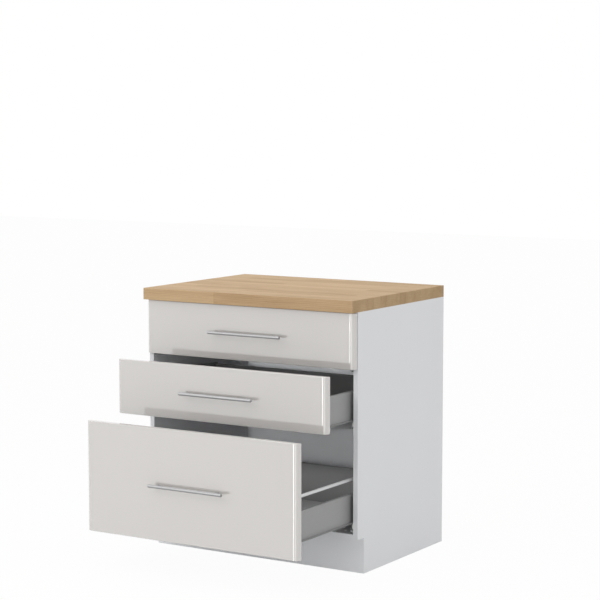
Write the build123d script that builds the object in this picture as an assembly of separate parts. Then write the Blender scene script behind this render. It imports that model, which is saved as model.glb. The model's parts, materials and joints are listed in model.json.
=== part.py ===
from build123d import *
import math
import os

# Kitchen base cabinet with one deep and two shallow drawers, millimetres, +Z up.
# X runs to the right across the front, Y to the back. The pieces are placed from the front edge
# of the carcass (Y = 0, drawers closed) and then set so that the origin is at the middle of the
# footprint on the floor, with the drawers pulled out as they stand at rest.

# ---- carcass ----
cabinet_width = 800.0
carcass_height = 832.0
carcass_depth = 566.0
board = 16.0
toe_recess_depth = 40.0
toe_recess_height = 115.0
back_board = 3.0
back_rebate = 8.0
back_play = 0.5
stretcher_width = 100.0
plinth_board_thickness = 16.0

# ---- worktop ----
worktop_thickness = 38.0
worktop_overhang = 34.0
worktop_edge_radius = 1.5

# ---- drawer fronts ----
front_thickness = 18.0
front_standoff = 2.0
front_gap = 2.5
front_side_reveal = 2.0
lowest_front_lift = 3.5
shallow_front_height = 176.0
front_corner_radius = 17.0
front_edge_break = 0.8

# ---- how far each drawer stands open at rest, and how far it can travel ----
top_open = 0.0
middle_open = 162.0
bottom_open = 326.0
drawer_travel = 380.0

# ---- bar handles ----
handle_length = 274.0
handle_diameter = 10.0
handle_reach = 27.0
handle_drop = 2.0
handle_hole_spacing = 224.0
handle_post_diameter = 8.0
handle_end_chamfer = 0.5
handle_screw_diameter = 4.0
handle_screw_bite = 8.0

# ---- folded steel drawer sides ----
side_sheet = 1.2
side_length = 500.0
side_height = 92.0
side_thickness = 13.0
side_gap = 12.5
side_bend = 1.0
side_top_bend = 2.6
shallow_side_lift = 15.0
deep_side_lift = 46.5
base_flange = 14.0
running_flange_edge = 3.5

# ---- drawer base and rear wall ----
base_board = 16.0
base_play = 0.25
rear_wall_sheet = 1.2
rear_wall_depth = 14.0
rear_wall_bend = 2.5
shallow_rear_height = 89.0
deep_rear_height = 139.0

# ---- roller runners ----
runner_sheet = 1.2
runner_bend = 1.0
runner_depth = 10.8
runner_lip = 4.2
runner_front_setback = 3.0
roller_diameter = 22.0
roller_width = 5.6
roller_bevel = 0.5
roller_play = 0.2
roller_bore_play = 0.05
axle_diameter = 5.0
axle_collar_diameter = 8.0
axle_head_thickness = 0.9
front_roller_setback = 18.0
front_roller_inset = 3.6
rear_roller_setback = 12.0
rear_roller_inset = 2.8
flange_play = 1.0
out_stop_drop = 4.0
lug_width = 18.0
lug_relief = 2.0

# ---- front brackets ----
bracket_sheet = 2.0
bracket_tongue = 50.0
bracket_margin = 8.0
bracket_play = 0.3

# ---- gallery rail of the deep drawer ----
rail_diameter = 10.0
rail_wall = 1.0
rail_height = 136.5
rail_holder_width = 11.0
rail_holder_depth = 12.0
rail_holder_wall = 1.3
rail_socket_play = 0.1

# ---- fasteners ----
screw_play = 0.05
hole_end_play = 0.3
head_crown_share = 0.7
handle_hole_play = 0.4
runner_screw_diameter = 5.0
runner_screw_length = 12.0
runner_screw_rows = (37.0, 261.0, 453.0)
wood_screw_diameter = 4.0
wood_screw_head = 8.0
wood_screw_head_height = 2.2
worktop_screw_length = 40.0
base_screw_length = 13.0
base_screw_inset = 60.0
bracket_screw_length = 13.0
rivet_diameter = 4.0
rivet_head = 7.0
rivet_head_height = 1.0
rivet_tail = 5.6
dowel_diameter = 8.0
dowel_length = 28.0
dowel_in_side = 10.0
cam_diameter = 15.0
cam_depth = 12.0
cam_inset = 34.0
cam_play = 0.1
cam_slot_width = 1.5
cam_slot_depth = 2.0
cam_bolt_diameter = 5.0
cam_bolt_head = 7.0
cam_bolt_head_length = 3.0
cam_bolt_tip_gap = 1.0
cam_bolt_in_side = 11.0
cam_bolt_bore = 8.0
nail_diameter = 1.6
nail_head = 4.0
nail_head_height = 0.6
nail_length = 18.0
nail_spacing = 170.0

# ---- how far a cutting tool reaches past the face that it opens ----
past = 1.0

# ---- places that follow from the sizes above ----
half_width = cabinet_width / 2
inner_half = half_width - board
carcass_inner_depth = carcass_depth - back_board
bottom_top = toe_recess_height + board
stretcher_bottom = carcass_height - board
front_back_face = -front_standoff
front_face = front_back_face - front_thickness
front_width = cabinet_width - 2 * front_side_reveal
handle_axis_reach = handle_reach - handle_diameter / 2

top_front_bottom = carcass_height - front_gap - shallow_front_height
middle_front_bottom = top_front_bottom - front_gap - shallow_front_height
bottom_front_bottom = toe_recess_height + lowest_front_lift
deep_front_height = middle_front_bottom - front_gap - bottom_front_bottom

roller_radius = roller_diameter / 2
side_outer = inner_half - side_gap
side_inner = side_outer - side_thickness
rear_roller_y = side_length - rear_roller_setback
rear_wall_y = side_length - rear_wall_depth - 2 * runner_sheet

# Heights in a drawer are counted from the underside of its two side flanges.
front_roller_z = -roller_play - roller_radius
runner_flange_top = -flange_play
rear_roller_z = runner_flange_top - runner_sheet - roller_play - roller_radius
track_z = rear_roller_z - roller_radius - roller_play
runner_bottom = track_z - runner_sheet
runner_web_z = (track_z + runner_flange_top) / 2
base_top = side_sheet + base_board
runner_end = rear_roller_y + roller_radius + roller_play + runner_sheet

footprint_front = front_face - handle_reach - max(top_open, middle_open, bottom_open)
footprint_back = carcass_depth
to_origin = Pos(0, -(footprint_front + footprint_back) / 2, 0)

# name, front bottom edge, front height, flange underside, rear wall height, rest opening
drawers = (
    ("top", top_front_bottom, shallow_front_height,
     top_front_bottom + shallow_side_lift, shallow_rear_height, top_open),
    ("middle", middle_front_bottom, shallow_front_height,
     middle_front_bottom + shallow_side_lift, shallow_rear_height, middle_open),
    ("bottom", bottom_front_bottom, deep_front_height,
     bottom_front_bottom + deep_side_lift, deep_rear_height, bottom_open),
)


def block(x0, x1, y0, y1, z0, z1):
    """A square-edged board or bar between two corners."""
    middle = Pos((x0 + x1) / 2, (y0 + y1) / 2, (z0 + z1) / 2)
    return middle * Box(abs(x1 - x0), abs(y1 - y0), abs(z1 - z0))


def round_bar(start, end, diameter):
    """A straight round bar between two points on one axis."""
    line = Vector(*end) - Vector(*start)
    plane = Plane(origin=start, z_dir=line)
    return extrude(plane * Circle(diameter / 2), amount=line.length)


def turned(start, direction, steps):
    """A turned piece: steps of (diameter at start, diameter at end, length) along one line."""
    plane = Plane(origin=start, z_dir=direction)
    outline = [(0, 0)]
    reach = 0
    for first, last, length in steps:
        if outline[-1] != (first / 2, reach):
            outline.append((first / 2, reach))
        reach += length
        outline.append((last / 2, reach))
    outline.append((0, reach))
    section = make_face(Plane.XZ * Polyline(*outline, close=True))
    return plane.location * revolve(section, Axis.Z)


def folded(points, sheet, radii, y0, y1):
    """Sheet steel folded along an X-Z centre line and running from y0 to y1."""
    centre_line = FilletPolyline(*points, radius=radii)
    section = Plane.XZ * trace(centre_line, line_width=sheet)
    return Pos(0, y1, 0) * extrude(section, amount=y1 - y0)


def on_both_sides(piece):
    """A right-hand piece and its mirror image on the left."""
    return [piece, mirror(piece, about=Plane.YZ)]


def cut_all(piece, tools):
    """The piece with every tool taken out of it."""
    for tool in tools:
        piece = piece - tool
    return piece


def save(name, solids, opening=0.0):
    """Write one node, drawn out by its opening and set to the origin."""
    if not isinstance(solids, list):
        solids = [solids]
    place = to_origin * Pos(0, -opening, 0)
    placed = []
    for group in solids:
        for solid in group.solids():
            placed.append(place * solid)
    shape = placed[0] if len(placed) == 1 else Compound(placed)
    export_step(shape, f"parts/{name}.step")


# ======================================================================= joints between boards

def board_joints():
    """Where the cross boards meet the right side panel.

    Each entry is the board's lower face or front face, the way its cam faces, and the
    places of its cams and dowels along the joint.
    """
    bottom_mid = toe_recess_height + board / 2
    top_mid = stretcher_bottom + board / 2
    plinth_mid = toe_recess_depth + plinth_board_thickness / 2
    quarter = carcass_inner_depth / 8
    half_stretcher = stretcher_width / 2
    dowel_step = stretcher_width / 4
    cams = []
    dowels = []
    for y in (quarter, carcass_inner_depth - quarter):
        cams.append((y, bottom_mid, "down"))
    for y in (quarter * 2, carcass_inner_depth / 2, carcass_inner_depth - quarter * 2):
        dowels.append((y, bottom_mid))
    for y in (half_stretcher, carcass_inner_depth - half_stretcher):
        cams.append((y, top_mid, "down"))
        dowels.append((y - dowel_step, top_mid))
        dowels.append((y + dowel_step, top_mid))
    cams.append((plinth_mid, toe_recess_height / 2, "back"))
    for z in (toe_recess_height / 4, toe_recess_height * 3 / 4):
        dowels.append((plinth_mid, z))
    return cams, dowels


cam_places, dowel_places = board_joints()


def cam_axis(y, z, facing):
    """Centre of the cam's open face and the way it faces."""
    x = inner_half - cam_inset
    if facing == "down":
        return (x, y, z - board / 2), (0, 0, 1)
    return (x, y + plinth_board_thickness / 2, z), (0, -1, 0)


def cam_housing(y, z, facing):
    """A turned cam with the slot for the bolt head and a screwdriver slot."""
    start, direction = cam_axis(y, z, facing)
    body_diameter = cam_diameter - 2 * cam_play
    body = turned(start, direction, [(body_diameter, body_diameter, cam_depth)])
    axis_x = inner_half - cam_inset
    slot = round_bar((axis_x - 2 * cam_bolt_tip_gap, y, z), (axis_x + cam_diameter, y, z),
                     cam_bolt_head + 2 * cam_play)
    driver = block(-cam_diameter / 4, cam_diameter / 4, -cam_slot_width / 2, cam_slot_width / 2,
                   -past, cam_slot_depth)
    plane = Plane(origin=start, z_dir=direction)
    return body - slot - plane.location * driver


def cam_hole(y, z, facing):
    start, direction = cam_axis(y, z, facing)
    return turned(start, direction, [(cam_diameter, cam_diameter, cam_depth + cam_play)])


def cam_bolt(y, z):
    """Threaded into the side panel, with its head caught inside the cam."""
    start = (inner_half + cam_bolt_in_side, y, z)
    neck = cam_inset + cam_bolt_in_side - cam_bolt_head_length - cam_bolt_tip_gap
    steps = [(cam_bolt_diameter, cam_bolt_diameter, neck),
             (cam_bolt_head, cam_bolt_head, cam_bolt_head_length)]
    return turned(start, (-1, 0, 0), steps)


def cam_bolt_holes(y, z):
    in_side = round_bar((inner_half - past, y, z),
                        (inner_half + cam_bolt_in_side + hole_end_play, y, z),
                        cam_bolt_diameter + 2 * screw_play)
    in_board = round_bar((inner_half - cam_inset, y, z), (inner_half + past, y, z), cam_bolt_bore)
    return in_side, in_board


def dowel(y, z, play=0.0):
    start = inner_half + dowel_in_side - dowel_length
    return round_bar((start - play, y, z), (inner_half + dowel_in_side + play, y, z),
                     dowel_diameter + play)


def side_drillings():
    """Every blind hole in the right side panel's inner face."""
    holes = []
    for y, z, facing in cam_places:
        holes.append(cam_bolt_holes(y, z)[0])
    for y, z in dowel_places:
        holes.append(dowel(y, z, 2 * screw_play))
    for drawer in drawers:
        for y in runner_screw_rows:
            z = drawer[3] + runner_web_z
            depth = runner_screw_length - runner_sheet + hole_end_play
            holes.append(round_bar((inner_half - past, y, z), (inner_half + depth, y, z),
                                   runner_screw_diameter + 2 * screw_play))
    return holes


def cross_board_drillings():
    """Cam, bolt and dowel holes at both ends of every cross board."""
    holes = []
    for y, z, facing in cam_places:
        holes += on_both_sides(cam_hole(y, z, facing))
        holes += on_both_sides(cam_bolt_holes(y, z)[1])
    for y, z in dowel_places:
        holes += on_both_sides(dowel(y, z, 2 * screw_play))
    return holes


# ======================================================================= carcass

def nail_places():
    """X and Z of the nails round the edge of the back panel."""
    edge_x = inner_half + back_rebate / 2
    low = toe_recess_height + board / 2
    high = stretcher_bottom + board / 2
    across = max(2, round(2 * inner_half / nail_spacing))
    up = max(2, round((high - low) / nail_spacing))
    places = []
    for i in range(1, across):
        x = -inner_half + 2 * inner_half * i / across
        places += [(x, low), (x, high)]
    for i in range(1, up):
        z = low + (high - low) * i / up
        places += [(-edge_x, z), (edge_x, z)]
    return places


def nail(x, z, play=0.0):
    start = (x, carcass_depth, z)
    steps = [(nail_head + play, nail_head + play, nail_head_height + play / 2),
             (nail_diameter + play, nail_diameter + play, nail_length - nail_head_height)]
    return turned(start, (0, -1, 0), steps)


nail_holes = [nail(x, z, 2 * screw_play) for x, z in nail_places()]


def side_panel():
    """Right side panel: notched for the toe recess and rebated for the back panel."""
    outline = Polyline((toe_recess_depth, 0), (carcass_depth, 0), (carcass_depth, carcass_height),
                       (0, carcass_height), (0, toe_recess_height),
                       (toe_recess_depth, toe_recess_height), close=True)
    panel = Pos(inner_half, 0, 0) * extrude(Plane.YZ * make_face(outline), amount=board)
    rebate = block(inner_half - past, inner_half + back_rebate, carcass_inner_depth,
                   carcass_depth + past, toe_recess_height, carcass_height + past)
    return cut_all(panel - rebate, side_drillings())


def worktop_screw_places():
    return [(x, y) for x in (-inner_half * 2 / 3, inner_half * 2 / 3)
            for y in (stretcher_width / 2, carcass_inner_depth - stretcher_width / 2)]


def wood_screw(start, direction, length, play=0.0):
    """Round-headed screw; its head starts at the given point."""
    steps = [(wood_screw_head * head_crown_share, wood_screw_head, wood_screw_head_height),
             (wood_screw_diameter + play, wood_screw_diameter + play, length),
             (wood_screw_diameter + play, wood_screw_diameter / 4 + play, wood_screw_diameter / 2)]
    return turned(start, direction, steps)


def screw_hole(start, direction, length):
    """Pilot hole for a wood screw's shank, from the seat of its head."""
    reach = Vector(*direction) * (length + wood_screw_diameter / 2 + hole_end_play)
    return round_bar(start, tuple(Vector(*start) + reach), wood_screw_diameter + 2 * screw_play)


def build_carcass():
    panel = side_panel()
    holes_left = [hole for hole in nail_holes if hole.center().X < 0]
    holes_right = [hole for hole in nail_holes if hole.center().X > 0]
    save("side_panel_right", cut_all(panel, holes_right))
    save("side_panel_left", cut_all(mirror(panel, about=Plane.YZ), holes_left))

    drillings = cross_board_drillings()
    bottom = block(-inner_half, inner_half, 0, carcass_inner_depth, toe_recess_height, bottom_top)
    save("bottom_panel", cut_all(bottom, drillings + nail_holes))

    worktop_holes = [screw_hole((x, y, stretcher_bottom), (0, 0, 1), worktop_screw_length)
                     for x, y in worktop_screw_places()]
    front_rail = block(-inner_half, inner_half, 0, stretcher_width, stretcher_bottom, carcass_height)
    rear_rail = block(-inner_half, inner_half, carcass_inner_depth - stretcher_width,
                      carcass_inner_depth, stretcher_bottom, carcass_height)
    save("front_stretcher", cut_all(front_rail, drillings + worktop_holes))
    save("rear_stretcher", cut_all(rear_rail, drillings + worktop_holes + nail_holes))

    plinth = block(-inner_half, inner_half, toe_recess_depth,
                   toe_recess_depth + plinth_board_thickness, 0, toe_recess_height)
    save("plinth_board", cut_all(plinth, drillings))

    back_half = inner_half + back_rebate - back_play
    back = block(-back_half, back_half, carcass_inner_depth, carcass_depth,
                 toe_recess_height + back_play, carcass_height)
    save("back_panel", cut_all(back, nail_holes))
    save("back_panel_nails", [nail(x, z) for x, z in nail_places()])

    top = block(-half_width, half_width, -worktop_overhang, carcass_depth,
                carcass_height, carcass_height + worktop_thickness)
    front_and_ends = top.faces().sort_by(Axis.Z)[-1].edges().filter_by(
        lambda edge: edge.center().Y < carcass_depth - worktop_edge_radius)
    top = fillet(front_and_ends + top.edges().filter_by(Axis.Z).sort_by(Axis.Y)[:2],
                 worktop_edge_radius)
    save("worktop", cut_all(top, worktop_holes))
    save("worktop_screws", [wood_screw((x, y, stretcher_bottom - wood_screw_head_height), (0, 0, 1),
                                       worktop_screw_length) for x, y in worktop_screw_places()])

    cams = []
    bolts = []
    for y, z, facing in cam_places:
        cams += on_both_sides(cam_housing(y, z, facing))
        bolts += on_both_sides(cam_bolt(y, z))
    save("cam_housings", cams)
    save("cam_bolts", bolts)
    dowels = []
    for y, z in dowel_places:
        dowels += on_both_sides(dowel(y, z))
    save("wood_dowels", dowels)


# ======================================================================= runners and rollers

def axle(wall_x, roller_inset, y, z, inwards):
    """Riveted roller axle: a collar from its wall, the journal, and the head that keeps the roller on.

    inwards is -1 on the carcass (the axle points to the drawer) and +1 on the drawer side.
    """
    near = inner_half - roller_inset
    far = near - roller_width
    first, last = (near, far) if inwards < 0 else (far, near)
    collar = abs(wall_x - first) - roller_play
    journal = roller_width + 2 * roller_play
    steps = [(axle_collar_diameter, axle_collar_diameter, collar),
             (axle_diameter, axle_diameter, journal),
             (axle_collar_diameter, axle_collar_diameter, axle_head_thickness)]
    return turned((wall_x, y, z), (inwards, 0, 0), steps)


def roller(roller_inset, y, z):
    """Bevelled plastic roller with its bore."""
    start = (inner_half - roller_inset, y, z)
    steps = [(roller_diameter - 2 * roller_bevel, roller_diameter, roller_bevel),
             (roller_diameter, roller_diameter, roller_width - 2 * roller_bevel),
             (roller_diameter, roller_diameter - 2 * roller_bevel, roller_bevel)]
    bore = round_bar((inner_half, y, z), (inner_half - side_gap, y, z),
                     axle_diameter + 2 * roller_bore_play)
    return turned(start, (-1, 0, 0), steps) - bore


def runner_profile(z0):
    """Right carcass profile: a C of folded steel, open towards the drawer."""
    half = runner_sheet / 2
    web = inner_half - half
    edge = inner_half - runner_depth
    floor = z0 + track_z - half
    roof = z0 + runner_flange_top - half
    points = [(edge + half, floor + runner_lip), (edge + half, floor), (web, floor), (web, roof),
              (edge, roof)]
    profile = folded(points, runner_sheet, runner_bend + half, runner_front_setback, runner_end)

    roof_start = front_roller_setback + roller_radius + 3 * roller_play
    roof_cut = block(inner_half + past, edge - past, runner_front_setback - past, roof_start,
                     roof - runner_bend - runner_sheet, z0)
    stop_edge = edge + runner_sheet
    closed_stop = block(web, stop_edge, runner_end - runner_sheet, runner_end, floor, roof)
    out_y = rear_roller_y - drawer_travel
    drop = roller_radius + roller_play - out_stop_drop
    reach = math.sqrt(roller_radius ** 2 - drop ** 2) + roller_play
    out_stop = block(web, stop_edge, out_y - reach - runner_sheet, out_y - reach,
                     roof - half - out_stop_drop, roof)
    pin = axle(inner_half - runner_sheet, front_roller_inset, front_roller_setback,
               z0 + front_roller_z, -1)
    profile = profile - roof_cut + closed_stop + out_stop + pin
    return cut_all(profile, [runner_screw(y, z0, 2 * screw_play) for y in runner_screw_rows])


def runner_screw(y, z0, play=0.0):
    """Countersunk runner screw, flush with the profile's web."""
    start = (inner_half - runner_sheet, y, z0 + runner_web_z)
    head = runner_screw_diameter + 2 * runner_sheet
    body = runner_screw_diameter + play
    steps = [(head + play, body, runner_sheet),
             (body, body, runner_screw_length - runner_sheet - runner_screw_diameter / 2),
             (body, runner_screw_diameter / 4 + play, runner_screw_diameter / 2)]
    return turned(start, (1, 0, 0), steps)


def build_runners():
    screws = []
    for name, front_z, front_height, z0, rear_height, opening in drawers:
        right = runner_profile(z0)
        save(f"runner_{name}_right", right)
        save(f"runner_{name}_left", mirror(right, about=Plane.YZ))
        for y in runner_screw_rows:
            screws += on_both_sides(runner_screw(y, z0))
        wheel = roller(front_roller_inset, front_roller_setback, z0 + front_roller_z)
        save(f"front_roller_{name}_right", wheel)
        save(f"front_roller_{name}_left", mirror(wheel, about=Plane.YZ))
        wheel = roller(rear_roller_inset, rear_roller_y, z0 + rear_roller_z)
        save(f"rear_roller_{name}_right", wheel, opening)
        save(f"rear_roller_{name}_left", mirror(wheel, about=Plane.YZ), opening)
    save("runner_screws", screws)


# ======================================================================= drawers

def bracket_screw_heights(z0):
    span = side_height - 2 * bracket_margin
    return z0 + bracket_margin + span / 4, z0 + bracket_margin + span * 3 / 4


def handle_height(front_z, front_height):
    """The handles sit a little below the middle of their fronts."""
    return front_z + front_height / 2 - handle_drop


def bracket_screw_x():
    """Middle of the hollow between the bracket's tongue and the outer skin."""
    return (side_outer + side_inner + bracket_sheet) / 2


def drawer_front(front_z, front_height, z0):
    """Board with vertical edges rounded over its full thickness."""
    half = front_width / 2
    section = make_face(Polyline((-half, front_back_face), (half, front_back_face),
                                 (half, front_face), (-half, front_face), close=True))
    section = fillet(section.vertices().group_by(Axis.Y)[0], front_corner_radius)
    front = Pos(0, 0, front_z) * extrude(section, amount=front_height)
    ends = front.faces().filter_by(Axis.Z)
    rims = ends[0].edges() + ends[1].edges()
    rims = rims.filter_by(lambda edge: edge.center().Y < front_back_face - front_edge_break)
    front = chamfer(rims, front_edge_break)
    holes = []
    z = handle_height(front_z, front_height)
    for x in (-handle_hole_spacing / 2, handle_hole_spacing / 2):
        holes.append(round_bar((x, front_face - past, z), (x, front_back_face + past, z),
                               handle_screw_diameter + handle_hole_play))
    for z in bracket_screw_heights(z0):
        start = (bracket_screw_x(), 0, z)
        holes += on_both_sides(screw_hole(start, (0, -1, 0), bracket_screw_length))
    return cut_all(front, holes)


def handle(z):
    """Round bar on two posts, tapped for the screws that come through the front."""
    bar_y = front_face - handle_axis_reach
    bar = round_bar((-handle_length / 2, bar_y, z), (handle_length / 2, bar_y, z), handle_diameter)
    bar = chamfer(bar.edges().filter_by(GeomType.CIRCLE), handle_end_chamfer)
    for x in (-handle_hole_spacing / 2, handle_hole_spacing / 2):
        post = round_bar((x, front_face, z), (x, bar_y, z), handle_post_diameter)
        thread = round_bar((x, front_face + past, z),
                           (x, front_face - handle_screw_bite - hole_end_play, z),
                           handle_screw_diameter + 2 * screw_play)
        bar = bar + post - thread
    return bar


def handle_screws(z):
    """Machine screws with their heads on the back of the front."""
    screws = []
    for x in (-handle_hole_spacing / 2, handle_hole_spacing / 2):
        head = (x, front_back_face + wood_screw_head_height, z)
        steps = [(wood_screw_head * head_crown_share, wood_screw_head, wood_screw_head_height),
                 (handle_screw_diameter, handle_screw_diameter, front_thickness + handle_screw_bite)]
        screws.append(turned(head, (0, -1, 0), steps))
    return screws


def base_screw_places():
    x = side_inner - base_flange / 2
    return [(x, base_screw_inset), (x, side_length - base_screw_inset)]


def rear_screw_places():
    y = rear_wall_y + rear_wall_depth / 2
    return [(x, y) for x in (-side_inner / 2, side_inner / 2)]


def rivet_places(z0, rear_height):
    """Y and Z of the rivets that hold the right end of the rear wall."""
    y = rear_wall_y + rear_wall_depth / 2
    low = z0 + base_top + rivet_head
    high = z0 + min(side_height, rear_height) - rivet_head
    return [(y, low), (y, high)]


def rivet(y, z):
    """Blind rivet through the side's inner skin and the rear wall's end flange."""
    grip = side_sheet + base_play + rear_wall_sheet
    start = (side_inner + side_sheet + rivet_head_height, y, z)
    steps = [(rivet_head * head_crown_share, rivet_head, rivet_head_height),
             (rivet_diameter, rivet_diameter, grip),
             (rivet_tail, rivet_tail * head_crown_share, rivet_head_height)]
    return turned(start, (-1, 0, 0), steps)


def rivet_hole(y, z):
    return round_bar((side_inner + side_sheet + past, y, z), (side_inner - 3 * side_sheet, y, z),
                     rivet_diameter + 2 * screw_play)


def tongue_rivet_place(z0):
    return bracket_tongue / 2, z0 + side_height / 2


def drawer_side(z0, rear_height):
    """Right drawer side, folded from one sheet.

    From its outer edge the sheet runs as the running flange, up the outer skin, over the top,
    down the inner skin, and in as the flange that carries the base board. At the rear end the
    running flange stops and the outer skin goes on down as the lug of the rear roller.
    """
    half = side_sheet / 2
    outer = side_outer - half
    inner = side_inner + half
    points = [(inner_half - running_flange_edge, z0 + half), (outer, z0 + half),
              (outer, z0 + side_height - half), (inner, z0 + side_height - half),
              (inner, z0 + half), (side_inner - base_flange, z0 + half)]
    bend = side_bend + half
    top_bend = side_top_bend + half
    side = folded(points, side_sheet, [bend, top_bend, top_bend, bend], 0, side_length)

    bend_top = z0 + side_sheet + side_bend
    lug_front = rear_roller_y - lug_width / 2
    relief = block(outer + half, inner_half, lug_front - lug_relief, side_length + 1,
                   z0 - past, bend_top + past)
    lug_z = z0 + rear_roller_z
    lug = block(outer - half, outer + half, lug_front, rear_roller_y + lug_width / 2,
                lug_z, bend_top)
    lug_end = round_bar((outer - half, rear_roller_y, lug_z), (outer + half, rear_roller_y, lug_z),
                        lug_width)
    pin = axle(side_outer, rear_roller_inset, rear_roller_y, lug_z, 1)
    side = side - relief + lug + lug_end + pin

    holes = [rivet_hole(y, z) for y, z in rivet_places(z0, rear_height)]
    holes.append(rivet_hole(*tongue_rivet_place(z0)))
    for x, y in base_screw_places():
        holes.append(screw_hole((x, y, z0 - past), (0, 0, 1), base_screw_length))
    return cut_all(side, holes)


def drawer_base(z0):
    """Base board between the two inner skins, on their flanges."""
    half = side_inner - base_play
    board_back = rear_wall_y + rear_wall_depth
    panel = block(-half, half, front_back_face, board_back, z0 + side_sheet, z0 + base_top)
    lower_ends = panel.faces().sort_by(Axis.Z)[0].edges().filter_by(Axis.Y)
    panel = chamfer(lower_ends, side_bend)
    holes = []
    for x, y in base_screw_places():
        holes += on_both_sides(screw_hole((x, y, z0), (0, 0, 1), base_screw_length))
    for x, y in rear_screw_places():
        holes.append(screw_hole((x, y, z0 + base_top), (0, 0, -1), base_screw_length))
    return cut_all(panel, holes)


def rear_wall(z0, rear_height):
    """Folded steel pan, open to the back, standing on the base board."""
    half = side_inner - base_play
    back = rear_wall_y + rear_wall_depth
    pan = block(-half, half, rear_wall_y, back, z0 + base_top, z0 + rear_height)
    pan = fillet(pan.edges().filter_by(lambda edge: edge.center().Y < back - rear_wall_bend),
                 rear_wall_bend)
    pan = offset(pan, amount=-rear_wall_sheet, openings=pan.faces().sort_by(Axis.Y)[-1])
    holes = []
    for y, z in rivet_places(z0, rear_height):
        holes += on_both_sides(rivet_hole(y, z))
    for x, y in rear_screw_places():
        holes.append(screw_hole((x, y, z0 + base_top + 2 * rear_wall_sheet), (0, 0, -1),
                                base_screw_length))
    return cut_all(pan, holes)


def front_bracket(z0):
    """Right front bracket: a plate screwed to the front and a tongue inside the hollow side."""
    low = z0 + bracket_margin
    high = z0 + side_height - bracket_margin
    plate = block(side_inner, side_outer, front_back_face, 0, low, high)
    skin = side_inner + side_sheet
    tongue = block(skin, skin + bracket_sheet, front_back_face, bracket_tongue, low, high)
    bracket = plate + tongue
    holes = [rivet_hole(*tongue_rivet_place(z0))]
    y, z = tongue_rivet_place(z0)
    holes.append(round_bar((skin - past, y, z), (skin + bracket_sheet + past, y, z),
                           rivet_diameter + 2 * screw_play))
    for z in bracket_screw_heights(z0):
        holes.append(screw_hole((bracket_screw_x(), past, z), (0, -1, 0), bracket_screw_length))
    return cut_all(bracket, holes)


def tongue_rivet(z0):
    """Rivet from the inner skin into the bracket's tongue."""
    y, z = tongue_rivet_place(z0)
    start = (side_inner - rivet_head_height, y, z)
    steps = [(rivet_head * head_crown_share, rivet_head, rivet_head_height),
             (rivet_diameter, rivet_diameter, side_sheet + bracket_sheet),
             (rivet_tail, rivet_tail * head_crown_share, rivet_head_height)]
    return turned(start, (1, 0, 0), steps)


def drawer_fixings(front_z, front_height, z0, rear_height):
    """All the small screws and rivets of one drawer."""
    pieces = handle_screws(handle_height(front_z, front_height))
    for z in bracket_screw_heights(z0):
        start = (bracket_screw_x(), wood_screw_head_height, z)
        pieces += on_both_sides(wood_screw(start, (0, -1, 0), bracket_screw_length))
    pieces += on_both_sides(tongue_rivet(z0))
    for y, z in rivet_places(z0, rear_height):
        pieces += on_both_sides(rivet(y, z))
    for x, y in base_screw_places():
        start = (x, y, z0 - wood_screw_head_height)
        pieces += on_both_sides(wood_screw(start, (0, 0, 1), base_screw_length))
    for x, y in rear_screw_places():
        start = (x, y, z0 + base_top + rear_wall_sheet + wood_screw_head_height)
        pieces.append(wood_screw(start, (0, 0, -1), base_screw_length))
    return pieces


def build_drawers():
    for name, front_z, front_height, z0, rear_height, opening in drawers:
        save(f"drawer_front_{name}", drawer_front(front_z, front_height, z0), opening)
        save(f"handle_{name}", handle(handle_height(front_z, front_height)), opening)
        side = drawer_side(z0, rear_height)
        save(f"drawer_side_{name}_right", side, opening)
        save(f"drawer_side_{name}_left", mirror(side, about=Plane.YZ), opening)
        save(f"drawer_base_{name}", drawer_base(z0), opening)
        save(f"rear_wall_{name}", rear_wall(z0, rear_height), opening)
        save(f"front_brackets_{name}", on_both_sides(front_bracket(z0)), opening)
        save(f"drawer_fixings_{name}", drawer_fixings(front_z, front_height, z0, rear_height),
             opening)


# ======================================================================= gallery rails

def build_gallery():
    """Round rails beside the deep drawer's rear wall, in a holder at each end."""
    name, front_z, front_height, z0, rear_height, opening = drawers[2]
    x = (side_inner + side_outer) / 2
    z = z0 + rail_height
    socket = rail_holder_depth / 2
    front_end = front_back_face + socket
    rear_start = rear_wall_y
    rear_end = rear_start + rail_holder_depth
    rail = round_bar((x, front_end, z), (x, rear_end - socket, z), rail_diameter)
    rail_bore = rail_diameter - 2 * rail_wall
    rail = rail - round_bar((x, front_end - past, z), (x, rear_end, z), rail_bore)

    half = rail_holder_width / 2
    bore = rail_diameter + 2 * rail_socket_play
    reach = bore / 2 + rail_holder_wall
    front_holder = block(x - reach, x + reach, front_back_face, front_back_face + rail_holder_depth,
                         z - reach, z + reach)
    front_holder = fillet(front_holder.edges().filter_by(Axis.Y), 2 * rail_holder_wall)
    front_holder = front_holder - round_bar((x, front_end - rail_socket_play, z),
                                            (x, rail_holder_depth + past, z), bore)
    post = block(x - half, x + half, rear_start, rear_end, z0 + side_height, z)
    collar = round_bar((x, rear_start, z), (x, rear_end, z), 2 * reach)
    rear_holder = post + collar
    rear_holder = rear_holder - round_bar((x, rear_start - past, z),
                                          (x, rear_end - socket + rail_socket_play, z), bore)
    save("gallery_rail_right", rail, opening)
    save("gallery_rail_left", mirror(rail, about=Plane.YZ), opening)
    save("gallery_rail_holders", on_both_sides(front_holder) + on_both_sides(rear_holder), opening)


os.makedirs("parts", exist_ok=True)
build_carcass()
build_runners()
build_drawers()
build_gallery()
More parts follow.
